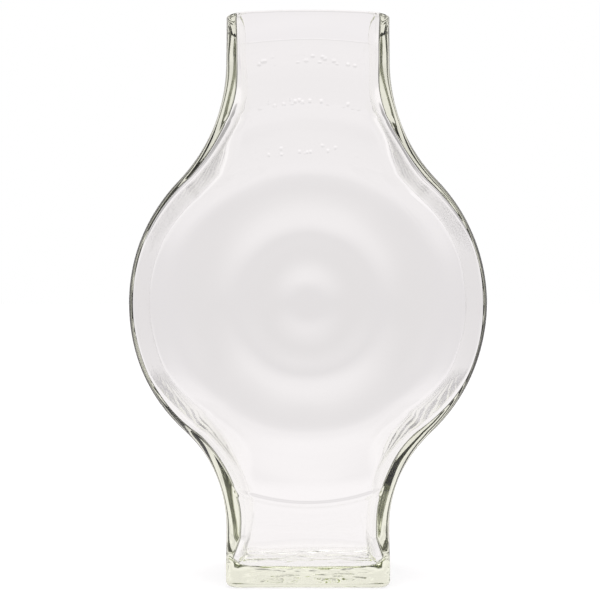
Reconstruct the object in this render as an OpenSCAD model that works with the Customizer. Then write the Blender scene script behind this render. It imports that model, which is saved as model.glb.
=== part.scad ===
// Flattened glass vase: a round drum standing on a square foot, with a square open neck above,
// blown in a mould as one piece of clear glass. Both broad faces carry rings like ripples on water.
// X is the width, Y the depth and Z the height. The origin is the middle of the resting face.

/* [Overall] */
// Height from the resting face to the lip
height = 200; // [195:1:215]
// Depth between the crests of the two broad faces
depth = 57; // [48:0.5:62]

/* [Drum] */
// Radius of the round drum, outside
drum_radius = 62; // [58:0.5:64]
// Height of the middle of the drum above the resting face
drum_height = 98.5; // [96:0.5:101]

/* [Neck and foot] */
// Width of the square neck and of the foot, outside
neck_width = 57; // [52:0.5:60]
// Radius of the hollow curve from the neck into the drum
shoulder_radius = 60; // [52:1:66]
// Radius of the hollow curve from the drum into the foot
ankle_radius = 46.5; // [42:0.5:50]
// Rounding of the foot's lower edges
foot_rounding = 2.5; // [1:0.5:4]

/* [Glass] */
// Thickness of the two broad walls
face_wall = 3.2; // [2.4:0.1:4]
// Thickness of the narrow walls at the neck and the foot
side_wall = 4.7; // [3.5:0.1:5.5]
// Thickness of the narrow wall round the drum, where the glass is blown thinnest
drum_wall = 1.8; // [1.6:0.1:2.6]
// Thickness of the solid glass under the cavity
base_thickness = 7; // [5:0.5:12]
// Rounding of the bottom of the cavity
cavity_rounding = 3; // [2:0.5:5]
// Radius of the hollow curve from the neck into the drum, inside
inner_shoulder_radius = 42; // [38:1:48]
// Radius of the hollow curve from the drum into the foot, inside
inner_ankle_radius = 32; // [28:1:34]

/* [Rings] */
// Distance from one ring's crest to the next
ring_pitch = 21.4; // [18:0.2:24]
// Height of a crest above the troughs beside it
ring_height = 0.7; // [0.2:0.1:1.2]
// Radius of the flat disc in the middle of the face, inside the first ring
disc_radius = 5.3; // [3:0.1:8]

/* [Hidden] */
$fn = 96;
glass_tint = [0.90, 0.94, 0.84, 0.45];
half_depth = depth / 2;
half_neck = neck_width / 2;
open_top = 10;        // how far the cavity runs on above the lip, so that the mouth is open
weld = 0.5;           // overlap where two outlines join
ring_steps = 8;       // points along each ring's wave
ring_facets = 180;    // sides of the slab that carries the rings
tall_side = max(drum_height, height - drum_height);
ring_reach = norm([half_neck, tall_side]) + ring_pitch / 4;  // past the furthest corners

// Height of the middle of a hollow curve above or below the middle of the drum, for a curve that
// touches both the drum's circle and the column's side.
function curve_offset(half, radius, curve) =
    sqrt(pow(radius + curve, 2) - pow(half + curve, 2));

// A point on the line from the middle of the drum to the middle of a hollow curve, as [x, z]
// measured from the middle of the drum. At the drum's radius the two arcs touch.
function toward_curve(half, radius, curve, distance) =
    distance / (radius + curve) * [half + curve, curve_offset(half, radius, curve)];

// The right-hand side of the column from the bottom to the top. It swells in straight lines to
// fill the space between the drum and the hollow curves, which are cut out of it afterwards.
function column_side(half, radius, shoulder, ankle, bottom, top) =
    let(low = toward_curve(half, radius, ankle, radius - weld),
        high = toward_curve(half, radius, shoulder, radius - weld),
        ankle_z = drum_height - curve_offset(half, radius, ankle),
        shoulder_z = drum_height + curve_offset(half, radius, shoulder))
    [[half, bottom], [half, ankle_z], [half + ankle, ankle_z],
     [low[0], drum_height - low[1]], [high[0], drum_height + high[1]],
     [half + shoulder, shoulder_z], [half, shoulder_z], [half, top]];

// Depth of a broad face at a distance r from the middle of the drum: a flat disc, then the rings.
function face_depth(r) =
    half_depth - ring_height / 2 * (1 + cos(360 * max(r - disc_radius, 0) / ring_pitch));

// The children and their mirror image, left and right.
module both_sides() {
    for (side = [0, 1]) mirror([side, 0]) children();
}

// What rounding takes away from the two lower corners of a column.
module lower_corners(half, bottom, rounding) {
    both_sides()
        translate([half - rounding, bottom])
            difference() {
                translate([0, -weld]) square(rounding + weld);
                translate([0, rounding]) circle(rounding);
            }
}

// The outline seen from the front: drum, neck and foot, and the hollow curves that join them.
module front_outline(half, radius, shoulder, ankle, bottom, top, rounding) {
    right = column_side(half, radius, shoulder, ankle, bottom, top);
    left = [for (i = [len(right) - 1:-1:0]) [-right[i][0], right[i][1]]];
    difference() {
        union() {
            translate([0, drum_height]) circle(radius);
            difference() {
                polygon(concat(right, left));
                both_sides() {
                    translate([half + shoulder, drum_height + curve_offset(half, radius, shoulder)])
                        circle(shoulder);
                    translate([half + ankle, drum_height - curve_offset(half, radius, ankle)])
                        circle(ankle);
                }
            }
        }
        lower_corners(half, bottom, rounding);
    }
}

// The outline seen from the side: a tall box with rounded lower edges.
module side_outline(half, bottom, top, rounding) {
    difference() {
        translate([-half, bottom]) square([2 * half, top - bottom]);
        lower_corners(half, bottom, rounding);
    }
}

// Stands a front outline up, as thick as given along the depth.
module stand_up(thickness) {
    rotate([90, 0, 0]) linear_extrude(height = thickness, center = true) children();
}

// Stands a side outline up, running along the whole width.
module stand_across() {
    rotate([90, 0, 90]) linear_extrude(height = 3 * drum_radius, center = true) children();
}

// A round slab with rings on both faces, wide enough to hold the whole vase.
module ringed_slab() {
    count = ceil((ring_reach - disc_radius) / ring_pitch * ring_steps);
    radii = concat([0], [for (i = [0:count]) disc_radius + i * ring_pitch / ring_steps]);
    front = [for (r = radii) [r, face_depth(r)]];
    back = [for (i = [len(radii) - 1:-1:0]) [radii[i], -face_depth(radii[i])]];
    translate([0, 0, drum_height])
        rotate([90, 0, 0])
            rotate_extrude($fn = ring_facets) polygon(concat(front, back));
}

// The space inside, from the rounded floor up through the open mouth.
module cavity() {
    top = height + open_top;
    intersection() {
        stand_up(depth)
            front_outline(half_neck - side_wall, drum_radius - drum_wall, inner_shoulder_radius,
                          inner_ankle_radius, base_thickness, top, cavity_rounding);
        stand_across()
            side_outline(half_depth - face_wall, base_thickness, top, cavity_rounding);
    }
}

module vase() {
    color(glass_tint)
        difference() {
            intersection() {
                stand_up(2 * depth)
                    front_outline(half_neck, drum_radius, shoulder_radius, ankle_radius,
                                  0, height, foot_rounding);
                stand_across() side_outline(half_depth, 0, height, foot_rounding);
                ringed_slab();
            }
            cavity();
        }
}

vase();
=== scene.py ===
"""Flattened glass vase with ripple rings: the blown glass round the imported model, in metres.

X is the width, Y the depth and Z the height, with the origin in the middle of the resting face.
"""
import math
import bpy
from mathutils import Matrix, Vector, noise


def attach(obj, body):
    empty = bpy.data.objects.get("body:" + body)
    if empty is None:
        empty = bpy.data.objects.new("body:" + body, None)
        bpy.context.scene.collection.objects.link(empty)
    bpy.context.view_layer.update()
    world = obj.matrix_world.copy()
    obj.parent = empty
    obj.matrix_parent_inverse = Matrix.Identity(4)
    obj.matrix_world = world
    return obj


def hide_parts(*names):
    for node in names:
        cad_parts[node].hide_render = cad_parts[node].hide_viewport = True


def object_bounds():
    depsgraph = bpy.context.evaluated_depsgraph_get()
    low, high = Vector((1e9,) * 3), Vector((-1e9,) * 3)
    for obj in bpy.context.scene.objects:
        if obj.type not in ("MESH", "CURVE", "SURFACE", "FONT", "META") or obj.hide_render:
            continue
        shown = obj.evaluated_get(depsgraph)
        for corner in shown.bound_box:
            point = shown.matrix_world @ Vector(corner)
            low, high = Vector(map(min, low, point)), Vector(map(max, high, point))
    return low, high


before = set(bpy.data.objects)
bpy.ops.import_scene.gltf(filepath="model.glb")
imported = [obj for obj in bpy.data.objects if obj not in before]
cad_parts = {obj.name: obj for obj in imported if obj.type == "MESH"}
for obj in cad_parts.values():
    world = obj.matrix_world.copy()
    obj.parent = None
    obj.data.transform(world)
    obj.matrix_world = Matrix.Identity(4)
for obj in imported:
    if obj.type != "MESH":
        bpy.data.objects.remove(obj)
cad_low, cad_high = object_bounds()

MM = 0.001

# ---- the outside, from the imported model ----
HEIGHT = cad_high.z
HALF_DEPTH = cad_high.y
DRUM_RADIUS = cad_high.x
LIP_BAND = 1 * MM                    # how far below the lip the neck's width is read
HALF_NECK = max(abs(v.co.x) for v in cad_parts["vase"].data.vertices if v.co.z > HEIGHT - LIP_BAND)

# ---- the outside, as in the design ----
DRUM_HEIGHT = 98.5 * MM              # middle of the drum above the resting face
SHOULDER_RADIUS = 60 * MM            # hollow curve between neck and drum
ANKLE_RADIUS = 46.5 * MM             # hollow curve between drum and foot
FOOT_ROUNDING = 2.5 * MM

# ---- the glass ----
FACE_WALL = 2.8 * MM                 # broad walls, away from the drum's rim
FACE_THICKENING = 24 * MM            # the broad walls reach that thickness this far in from the rim
DRUM_WALL = 1.6 * MM                 # narrow wall at the drum's widest point
NECK_WALL = 4.2 * MM
FOOT_WALL = 5.2 * MM
DRUM_FILLET = 0.8 * MM               # rounding of the upright edges inside, at the drum's widest point
NECK_FILLET = 3.5 * MM
FOOT_FILLET = 4.0 * MM
NECK_THINNING = (15 * MM, 80 * MM)   # wall and fillet grow from the drum's to the neck's over these heights
FOOT_THINNING = (22 * MM, 64 * MM)   # above its middle, and to the foot's over these below it
BASE_THICKNESS = 7 * MM
CAVITY_ROUNDING = 3 * MM
FLARE_HEIGHT = 17 * MM               # below this the narrow walls thin again, into the corners of the foot
FLARE_WALL = 2 * MM                  # narrow wall at the cavity's floor
EDGE_SHARE = 1.0                     # least rounding of the upright edges outside, as a share of the wall
LIP_ROUNDING = 0.9 * MM
LIP_SAG = (24 * MM, 1.1 * MM)        # over this height the neck's corners come to stand this much lower

# ---- the rings ----
RING_PITCH = 21.4 * MM
RING_HEIGHT = 0.7 * MM
DISC_RADIUS = 5.3 * MM               # the flat disc inside the first ring
INNER_RING_SHARE = 0.3               # how much of a ring the inside of the broad wall follows

# ---- what blowing leaves uneven: how far apart the swells lie, and how high they are ----
PATTERN_STEP = 17.3                  # how far apart two parts' patterns lie in the noise
RING_SWELL = (38 * MM, 0.35)         # of a ring, as a share of its height
EDGE_SWELL = (30 * MM, 0.9)          # of the rounding of the upright edges outside, as a share of the wall
FILLET_SWELL = (22 * MM, 0.6)        # of their rounding inside, as a share of it
SIDE_SWELL = (10 * MM, 0.004 * MM)   # of both surfaces of the narrow walls
FACE_SWELL = (16 * MM, 0.10 * MM)    # of the inside of the broad walls
FLOOR_SWELL = (7 * MM, 0.9 * MM)     # of the cavity's floor
UNDER_SWELL = (4.5 * MM, 0.9 * MM)   # of the underside, above the rim that the vase rests on
UNDER_HOLLOW = 0.6 * MM              # how far the middle of the underside is drawn in
PEEL_HEIGHT = 0.003 * MM             # fine ripple of the narrow walls
PEEL_SCALE = 420                     # waves of it in a metre
PEEL_FACING = (0.3, 0.9)             # it fades as a surface turns towards the front or back, by its normal
PEEL_ON_FACES = 0.05                 # what is left of it on the broad faces

# ---- marks on the outside of the front face, round the middle of the drum ----
FRONT_SKIN = (1.0 * MM, 1.5 * MM)    # they end between these depths behind the crests, short of the inside
NECK_START = (40 * MM, 48 * MM)      # the neck's marks set in between these heights above the middle
SEAM_RADIUS = 69.6 * MM
SEAM_WIDTH = 3.4 * MM
SEAM_DEPTH = 0.36 * MM
SEAM_NECK_SHARE = 0.2                # of that depth, in the neck
GLINT_ARCS = (                       # radius and width of each row of pocks
    (53.5 * MM, 2.4 * MM), (70 * MM, 1.4 * MM), (84.5 * MM, 1.8 * MM))
GLINT_REACH = (14 * MM, 21 * MM)     # they fade out between these distances left and right of the middle
GLINT_SPACING = 2.6 * MM
GLINT_SHARE = 0.4                    # radius of a pock, as a share of their spacing
GLINT_GAPS = (0.15, 0.25)            # places that draw less than these from 0 to 1 stay empty
GLINT_DEPTH = 0.25 * MM

# ---- the glass as a material ----
GLASS_IOR = 1.5
GLASS_TINT = (0.90, 0.925, 0.73, 1)  # yellow-green
TINT_DENSITY = 15                    # per metre

# ---- the studio ----
EYE_HEIGHT = 99.7 * MM
BOUNCES = 24                         # light crosses and turns many times in the walls
FLOOR_SHADE = 0.45                   # with its own glow it looks white, and still takes a soft shadow
FLOOR_GLOW = 0.72
ROOM_COLOUR = (1.0, 0.968, 0.985, 1)
TRAPPED_TURNS = (3, 12)              # light that turns this often in the glass is dimmed, from none to fully
TRAPPED_LEVEL = 0.06                 # how much of it is left then
CROSSED_SURFACES = (2, 3)            # light that goes in or out of the glass more often isn't dimmed
ROOM_LEVELS = (                      # by the sine of the elevation; a pale band hangs under the dark ceiling
    (-1.0, 0.92), (-0.6, 0.96), (-0.35, 0.97), (-0.26, 0.94), (-0.2, 0.89), (-0.14, 0.88),
    (-0.10, 0.84), (-0.05, 0.79), (0.0, 0.76), (0.05, 0.83), (0.09, 0.89), (0.14, 0.88),
    (0.22, 0.87), (0.27, 1.0), (0.30, 1.8), (0.38, 1.8), (0.44, 0.40), (0.6, 0.30),
    (0.75, 1.0), (1.0, 1.0))

# ---- mesh ----
FACE_STEPS = 60                      # quads across a broad face
CORNER_STEPS = 10                    # quads round each upright edge
SIDE_STEPS = 24                      # quads through the depth of a narrow wall
ROW_STEP = 1.05 * MM                 # height of one row of quads
BEND_STEPS = 6                       # rows round the foot's edge and the cavity's floor
CAP_STEPS = 14                       # rings of quads across the underside and the floor


def smooth(t):
    t = min(max(t, 0.0), 1.0)
    return t * t * (3 - 2 * t)


def swell(spot, size, part):
    """A soft irregularity from 0 to the given height; each numbered part has its own pattern."""
    spacing, height = size
    wave = noise.noise(Vector(spot) / spacing + Vector((0, 0, PATTERN_STEP * part)))
    return height * min(max(0.5 + wave, 0.0), 1.0)


def outer_width(z):
    """Half the width of the vase at any height: drum, hollow curves, neck and foot."""
    rise = abs(z - DRUM_HEIGHT)
    curve = SHOULDER_RADIUS if z > DRUM_HEIGHT else ANKLE_RADIUS
    reach = math.sqrt((DRUM_RADIUS + curve) ** 2 - (HALF_NECK + curve) ** 2)
    if rise >= reach:
        return HALF_NECK
    if rise <= reach * DRUM_RADIUS / (DRUM_RADIUS + curve):
        return math.sqrt(DRUM_RADIUS ** 2 - rise ** 2)
    return HALF_NECK + curve - math.sqrt(curve ** 2 - (reach - rise) ** 2)


def stretch(z):
    """How much wider a sloping wall is, measured level, than it is thick."""
    step = 0.05 * MM
    slope = (outer_width(z + step) - outer_width(z - step)) / (2 * step)
    return math.sqrt(1 + slope ** 2)


def along_side(z, drum, neck, foot):
    """A measure of the narrow wall at any height, from its values at the drum, the neck and the foot."""
    rise = z - DRUM_HEIGHT
    end, (near, far) = (neck, NECK_THINNING) if rise > 0 else (foot, FOOT_THINNING)
    return drum + (end - drum) * smooth((abs(rise) - near) / (far - near))


def narrow_wall(z):
    """Thickness of the narrow wall at any height."""
    wall = along_side(z, DRUM_WALL, NECK_WALL, FOOT_WALL)
    flare = min(max((FLARE_HEIGHT - z) / (FLARE_HEIGHT - BASE_THICKNESS), 0.0), 1.0)
    return wall + (FLARE_WALL - wall) * flare


def edge_radius(side, z):
    """Rounding of an upright edge outside, on the right (1) or the left (-1), which varies with height."""
    return narrow_wall(z) * (EDGE_SHARE + swell((side * HALF_NECK, 0, z), EDGE_SWELL, 6))


def fillet(side, z):
    """The same inside."""
    uneven = 1 - FILLET_SWELL[1] / 2 + swell((side * HALF_NECK, 0, z), FILLET_SWELL, 7)
    return along_side(z, DRUM_FILLET, NECK_FILLET, FOOT_FILLET) * uneven


def ring_drop(x, y, z):
    """How far the broad face lies below the rings' crests, round a flat disc in the middle."""
    r = max(math.hypot(x, z - DRUM_HEIGHT) - DISC_RADIUS, 0)
    height = RING_HEIGHT * (1 - RING_SWELL[1] / 2 + swell((x, y, z), RING_SWELL, 3))
    return height / 2 * (1 + math.cos(2 * math.pi * r / RING_PITCH))


def quarter(width, depth, rx, ry):
    """From the middle of a narrow face round its edge to the middle of a broad one, as (x, y, share)."""
    points = [(width, (depth - ry) * 2 * k / SIDE_STEPS, 0.0) for k in range(SIDE_STEPS // 2)]
    for a in (math.pi / 2 * k / CORNER_STEPS for k in range(CORNER_STEPS)):
        points.append((width - rx + rx * math.cos(a), depth - ry + ry * math.sin(a), smooth(math.sin(a))))
    return points + [((width - rx) * (1 - 2 * k / FACE_STEPS), depth, 1.0) for k in range(FACE_STEPS // 2)]


def section(width, depth, right, left):
    """A closed rounded rectangle as (x, y, share) points; share is 1 on the broad faces."""
    sides = {1: quarter(width, depth, *right), -1: quarter(width, depth, *left)}
    points = []
    for turn in (1, -1):
        points += [(turn * x, turn * y, s) for x, y, s in sides[turn]]
        points.append((0.0, turn * depth, 1.0))
        points += [(-turn * x, turn * y, s) for x, y, s in sides[-turn][:0:-1]]
    return points


def row(points, z, lean, ring_share, extra_drop, part, level=None):
    """A section's points at height z, with rings and swells, or with those placed at another level."""
    out = []
    for x, y, share in points:
        drop = ring_share * ring_drop(x, y, z) + extra_drop(x, y)
        dent = swell((x, y, z), SIDE_SWELL, part) * lean
        at = z if level is None else level
        sag = LIP_SAG[1] * smooth(1 - (HEIGHT - at) / LIP_SAG[0]) * min((x / HALF_NECK) ** 2, 1)
        out.append((x - math.copysign(dent * (1 - share), x), y - math.copysign(drop * share, y), at - sag))
    return out


def outside_row(z, inset=0.0, level=None):
    lean = stretch(z)
    corners = [(edge_radius(side, z) * lean, edge_radius(side, z)) for side in (1, -1)]
    points = section(outer_width(z) - inset, HALF_DEPTH - inset, *corners)
    return row(points, z, lean, 1, lambda x, y: 0, 1, level)


def inside_row(z, inset=0.0, level=None):
    lean, wall = stretch(z), narrow_wall(z)
    rim_wall = min(FACE_WALL, wall)
    width = outer_width(z) - wall * lean - inset
    corners = [(fillet(side, z) * lean, fillet(side, z)) for side in (1, -1)]

    def thickening(x, y):
        inward = smooth((width - abs(x)) / FACE_THICKENING)
        return (FACE_WALL - rim_wall) * inward + swell((x, y, z), FACE_SWELL, 2)

    points = section(width, HALF_DEPTH - rim_wall - inset, *corners)
    return row(points, z, lean, INNER_RING_SHARE, thickening, 2, level)


def heights(bottom, top):
    count = round((top - bottom) / ROW_STEP)
    return [bottom + (top - bottom) * k / count for k in range(count + 1)]


def cap(edge, lift):
    """Rows from the middle of a flat end outwards to its edge; lift(x, y, share) raises each point."""
    rows = []
    for share in (k / CAP_STEPS for k in range(1, CAP_STEPS)):
        rows.append([(x * share, y * share, z + lift(x * share, y * share, share)) for x, y, z in edge])
    return rows


def under_lift(x, y, share):
    """The underside is drawn in a little and uneven, inside the rim that it rests on."""
    inward = 1 - share ** 4
    return inward * (UNDER_HOLLOW + swell((x, y, 0), UNDER_SWELL, 4))


def floor_lift(x, y, share):
    """The cavity's floor is uneven, and meets its rounded edge evenly."""
    return (1 - share ** 6) * (swell((x, y, 0), FLOOR_SWELL, 5) - FLOOR_SWELL[1] / 2)


def vase_rows():
    """Rows from the middle of the underside, up the outside, over the lip and down to the cavity's floor."""
    quarter_turn = [math.pi / 2 * k / BEND_STEPS for k in range(BEND_STEPS + 1)]
    foot = [outside_row(FOOT_ROUNDING, FOOT_ROUNDING * (1 - math.sin(a)), FOOT_ROUNDING * (1 - math.cos(a)))
            for a in quarter_turn[:-1]]
    rows = cap(foot[0], under_lift) + foot
    lip = HEIGHT - LIP_ROUNDING
    rows += [outside_row(z) for z in heights(FOOT_ROUNDING, lip)]
    lip_bend = [(LIP_ROUNDING * (1 - math.cos(a)), lip + LIP_ROUNDING * math.sin(a))
                for a in quarter_turn[1:]]
    rows += [outside_row(lip, inset, level) for inset, level in lip_bend]
    rows += [inside_row(lip, -inset, level) for inset, level in lip_bend[::-1]]
    floor_top = BASE_THICKNESS + CAVITY_ROUNDING
    rows += [inside_row(z) for z in heights(floor_top, lip)[::-1]]
    floor_bend = [(CAVITY_ROUNDING * (1 - math.cos(a)), floor_top - CAVITY_ROUNDING * math.sin(a))
                  for a in quarter_turn[1:]]
    floor = [inside_row(floor_top, inset, level) for inset, level in floor_bend]
    return rows + floor + cap(floor[-1], floor_lift)[::-1]


def lofted(name, rows):
    """A closed mesh through rows of equal length, capped by one point at each end."""
    count = len(rows[0])
    first, last = ((0, 0, sum(p[2] for p in end) / count) for end in (rows[0], rows[-1]))
    verts = [first] + [p for r in rows for p in r] + [last]
    faces = [(0, 1 + (i + 1) % count, 1 + i) for i in range(count)]
    for r in range(len(rows) - 1):
        low, high = 1 + r * count, 1 + (r + 1) * count
        faces += [(low + i, low + (i + 1) % count, high + (i + 1) % count, high + i) for i in range(count)]
    low = 1 + (len(rows) - 1) * count
    faces += [(low + i, low + (i + 1) % count, len(verts) - 1) for i in range(count)]
    mesh = bpy.data.meshes.new(name)
    mesh.from_pydata(verts, [], faces)
    mesh.polygons.foreach_set("use_smooth", [True] * len(mesh.polygons))
    piece = bpy.data.objects.new(name, mesh)
    bpy.context.scene.collection.objects.link(piece)
    return piece


# ---- nodes ----
def add_node(tree, kind, inputs=(), **settings):
    """A node with its settings; inputs pair each socket's name or number with a value or a link."""
    node = tree.nodes.new("ShaderNode" + kind)
    for name, value in settings.items():
        setattr(node, name, value)
    for socket, value in dict(inputs).items():
        if isinstance(value, bpy.types.NodeSocket):
            tree.links.new(value, node.inputs[socket])
        else:
            node.inputs[socket].default_value = value
    return node


def maths(tree, operation, *values):
    return add_node(tree, "Math", enumerate(values), operation=operation).outputs[0]


def ramp(tree, value, low, high, at_low, at_high):
    """A soft step from one level to another while the value goes from low to high."""
    return add_node(tree, "MapRange", enumerate((value, low, high, at_low, at_high)),
                    interpolation_type="SMOOTHSTEP").outputs[0]


def stops(tree, value, low, high, levels):
    """A smooth curve through (value, level) pairs, over values from low to high."""
    place = add_node(tree, "MapRange", enumerate((value, low, high)))
    node = add_node(tree, "ValToRGB", {0: place.outputs[0]})
    node.color_ramp.interpolation = "B_SPLINE"
    elements = node.color_ramp.elements
    while len(elements) < len(levels):
        elements.new(0.5)
    for element, (at, level) in zip(elements, levels):
        element.position = (at - low) / (high - low)
        element.color = (level, level, level, 1)
    return node.outputs[0]


def new_material(name):
    material = bpy.data.materials.new(name)
    material.use_nodes = True
    material.node_tree.nodes.clear()
    return material, material.node_tree


# ---- materials ----
def seam_relief(tree, r, in_neck):
    """The shallow groove that the edge of the mould's round plate leaves, faint in the neck."""
    away = maths(tree, "ABSOLUTE", maths(tree, "SUBTRACT", r, SEAM_RADIUS))
    groove = ramp(tree, away, 0, SEAM_WIDTH / 2, -SEAM_DEPTH, 0)
    return maths(tree, "MULTIPLY", groove, ramp(tree, in_neck, 0, 1, 1, SEAM_NECK_SHARE))


def glint_relief(tree, flat, r, region):
    """Small pocks in arcs across the region where its mask is 1, which catch the light."""
    cells = add_node(tree, "TexVoronoi", {"Vector": flat, "Scale": 1 / GLINT_SPACING},
                     voronoi_dimensions="2D")
    pock = ramp(tree, cells.outputs["Distance"], 0, GLINT_SHARE, -GLINT_DEPTH, 0)
    draw = add_node(tree, "SeparateColor", {0: cells.outputs["Color"]}).outputs[0]
    chosen = ramp(tree, draw, *GLINT_GAPS, 0, 1)
    arcs = 0.0
    for radius, width in GLINT_ARCS:
        away = maths(tree, "ABSOLUTE", maths(tree, "SUBTRACT", r, radius))
        arcs = maths(tree, "MAXIMUM", arcs, ramp(tree, away, width / 2, width, 1, 0))
    pocks = maths(tree, "MULTIPLY", pock, chosen)
    return maths(tree, "MULTIPLY", pocks, maths(tree, "MULTIPLY", arcs, region))


def clear_glass():
    """Yellow-green where it is thick; seam and pocks in front, and fine ripple on the narrow walls."""
    material, tree = new_material("clear_glass")
    place = add_node(tree, "TexCoord")
    spot = place.outputs["Object"]
    parts = add_node(tree, "SeparateXYZ", {0: spot})
    flat = add_node(tree, "CombineXYZ", {0: parts.outputs["X"],
                                         1: maths(tree, "SUBTRACT", parts.outputs["Z"], DRUM_HEIGHT)})
    r = add_node(tree, "VectorMath", {0: flat.outputs[0]}, operation="LENGTH").outputs["Value"]
    in_neck = ramp(tree, parts.outputs["Z"], *(DRUM_HEIGHT + rise for rise in NECK_START), 0, 1)
    facing = add_node(tree, "SeparateXYZ", {0: place.outputs["Normal"]}).outputs["Y"]
    narrow = ramp(tree, maths(tree, "ABSOLUTE", facing), *PEEL_FACING, 1.0, PEEL_ON_FACES)
    peel = add_node(tree, "TexNoise", {"Vector": spot, "Scale": PEEL_SCALE, "Detail": 1, "Roughness": 0.4})
    ripple = maths(tree, "MULTIPLY", maths(tree, "MULTIPLY", peel.outputs[0], narrow), PEEL_HEIGHT)
    in_front = ramp(tree, parts.outputs["Y"], *(depth - HALF_DEPTH for depth in FRONT_SKIN), 1, 0)
    middle = ramp(tree, maths(tree, "ABSOLUTE", parts.outputs["X"]), *GLINT_REACH, 1, 0)
    glints = glint_relief(tree, flat.outputs[0], r, maths(tree, "MULTIPLY", in_neck, middle))
    marks = maths(tree, "ADD", seam_relief(tree, r, in_neck), glints)
    relief = maths(tree, "ADD", ripple, maths(tree, "MULTIPLY", marks, in_front))
    bump = add_node(tree, "Bump", {"Height": relief, "Distance": 1.0})
    shader = add_node(tree, "BsdfPrincipled", {"Transmission Weight": 1, "Roughness": 0, "IOR": GLASS_IOR,
                                               "Base Color": (1, 1, 1, 1), "Normal": bump.outputs[0]})
    tint = add_node(tree, "VolumeAbsorption", {"Color": GLASS_TINT, "Density": TINT_DENSITY})
    add_node(tree, "OutputMaterial", {"Surface": shader.outputs[0], "Volume": tint.outputs[0]})
    return material


def pale_floor():
    """Plain and white to the camera, with a soft shadow; seen through the glass it is the room's light."""
    material, tree = new_material("pale_floor")
    plain = add_node(tree, "BsdfPrincipled", {"Base Color": (FLOOR_SHADE, FLOOR_SHADE, FLOOR_SHADE, 1),
                                              "Roughness": 0.6,
                                              "Specular IOR Level": 0, "Emission Color": (1, 1, 1, 1),
                                              "Emission Strength": FLOOR_GLOW})
    spot = add_node(tree, "NewGeometry").outputs["Position"]
    away = add_node(tree, "VectorMath", {0: spot, 1: (0, 0, EYE_HEIGHT)}, operation="SUBTRACT")
    glow = add_node(tree, "Emission", {"Color": ROOM_COLOUR, "Strength": room_level(tree, away.outputs[0])})
    rays = add_node(tree, "LightPath").outputs["Is Camera Ray"]
    mixed = add_node(tree, "MixShader", {0: rays, 1: glow.outputs[0], 2: plain.outputs[0]})
    add_node(tree, "OutputMaterial", {"Surface": mixed.outputs[0]})
    return material


# ---- studio ----
def room_level(tree, direction):
    """Brightness of the studio in a direction, dimmer at eye level and for light trapped in the glass."""
    unit = add_node(tree, "VectorMath", {0: direction}, operation="NORMALIZE").outputs[0]
    level = stops(tree, add_node(tree, "SeparateXYZ", {0: unit}).outputs["Z"], -1, 1, ROOM_LEVELS)
    path = add_node(tree, "LightPath").outputs
    kept = ramp(tree, path["Glossy Depth"], *TRAPPED_TURNS, 1.0, TRAPPED_LEVEL)
    crossed = ramp(tree, path["Transmission Depth"], *CROSSED_SURFACES, 0.0, 1.0)
    return maths(tree, "MULTIPLY", level, maths(tree, "MAXIMUM", kept, crossed))


def make_floor():
    side = 30.0
    mesh = bpy.data.meshes.new("floor")
    corners = [(-side, -side, 0), (side, -side, 0), (side, side, 0), (-side, side, 0)]
    mesh.from_pydata(corners, [], [(0, 1, 2, 3)])
    mesh.materials.append(pale_floor())
    floor = bpy.data.objects.new("floor", mesh)
    bpy.context.scene.collection.objects.link(floor)


def make_world():
    """White to the camera; round the vase a soft pale room with a dark ceiling."""
    world = bpy.data.worlds.new("studio")
    bpy.context.scene.world = world
    world.use_nodes = True
    tree = world.node_tree
    tree.nodes.clear()
    direction = add_node(tree, "TexCoord").outputs["Generated"]
    room = add_node(tree, "Background", {"Color": ROOM_COLOUR, "Strength": room_level(tree, direction)})
    backdrop = add_node(tree, "Background", {"Color": (1, 1, 1, 1), "Strength": 1})
    rays = add_node(tree, "LightPath").outputs["Is Camera Ray"]
    mixed = add_node(tree, "MixShader", {0: rays, 1: room.outputs[0], 2: backdrop.outputs[0]})
    add_node(tree, "OutputWorld", {0: mixed.outputs[0]})


def make_lights():
    lamp = bpy.data.lights.new("overhead", "AREA")
    lamp.shape = "DISK"
    lamp.size = 1.4
    lamp.energy = 4
    holder = bpy.data.objects.new("overhead", lamp)
    holder.location = (0, 0, 1.5)
    bpy.context.scene.collection.objects.link(holder)


def make_camera():
    """Half a metre in front of the broad face, level with the middle of the drum."""
    distance = 497 * MM                     # from the lens to the front face
    view_width = 206.897 * MM               # how much the picture spans at the front face
    sensor = 36
    camera = bpy.data.cameras.new("camera")
    camera.sensor_fit = "HORIZONTAL"
    camera.sensor_width = sensor
    camera.lens = sensor * distance / view_width
    camera.shift_x = -1 / 75                # the vase stands a little right of the middle
    camera.clip_start = 0.01
    holder = bpy.data.objects.new("camera", camera)
    holder.location = (0, -HALF_DEPTH - distance, EYE_HEIGHT)
    holder.rotation_euler = (math.pi / 2, 0, 0)
    bpy.context.scene.collection.objects.link(holder)
    bpy.context.scene.camera = holder


vase = lofted("vase_glass", vase_rows())
vase.data.materials.append(clear_glass())
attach(vase, "root")
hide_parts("vase")

make_floor()
make_world()
make_lights()
make_camera()
bpy.context.scene.view_settings.view_transform = "Standard"
for kind in ("max_bounces", "transmission_bounces", "glossy_bounces"):
    setattr(bpy.context.scene.cycles, kind, BOUNCES)
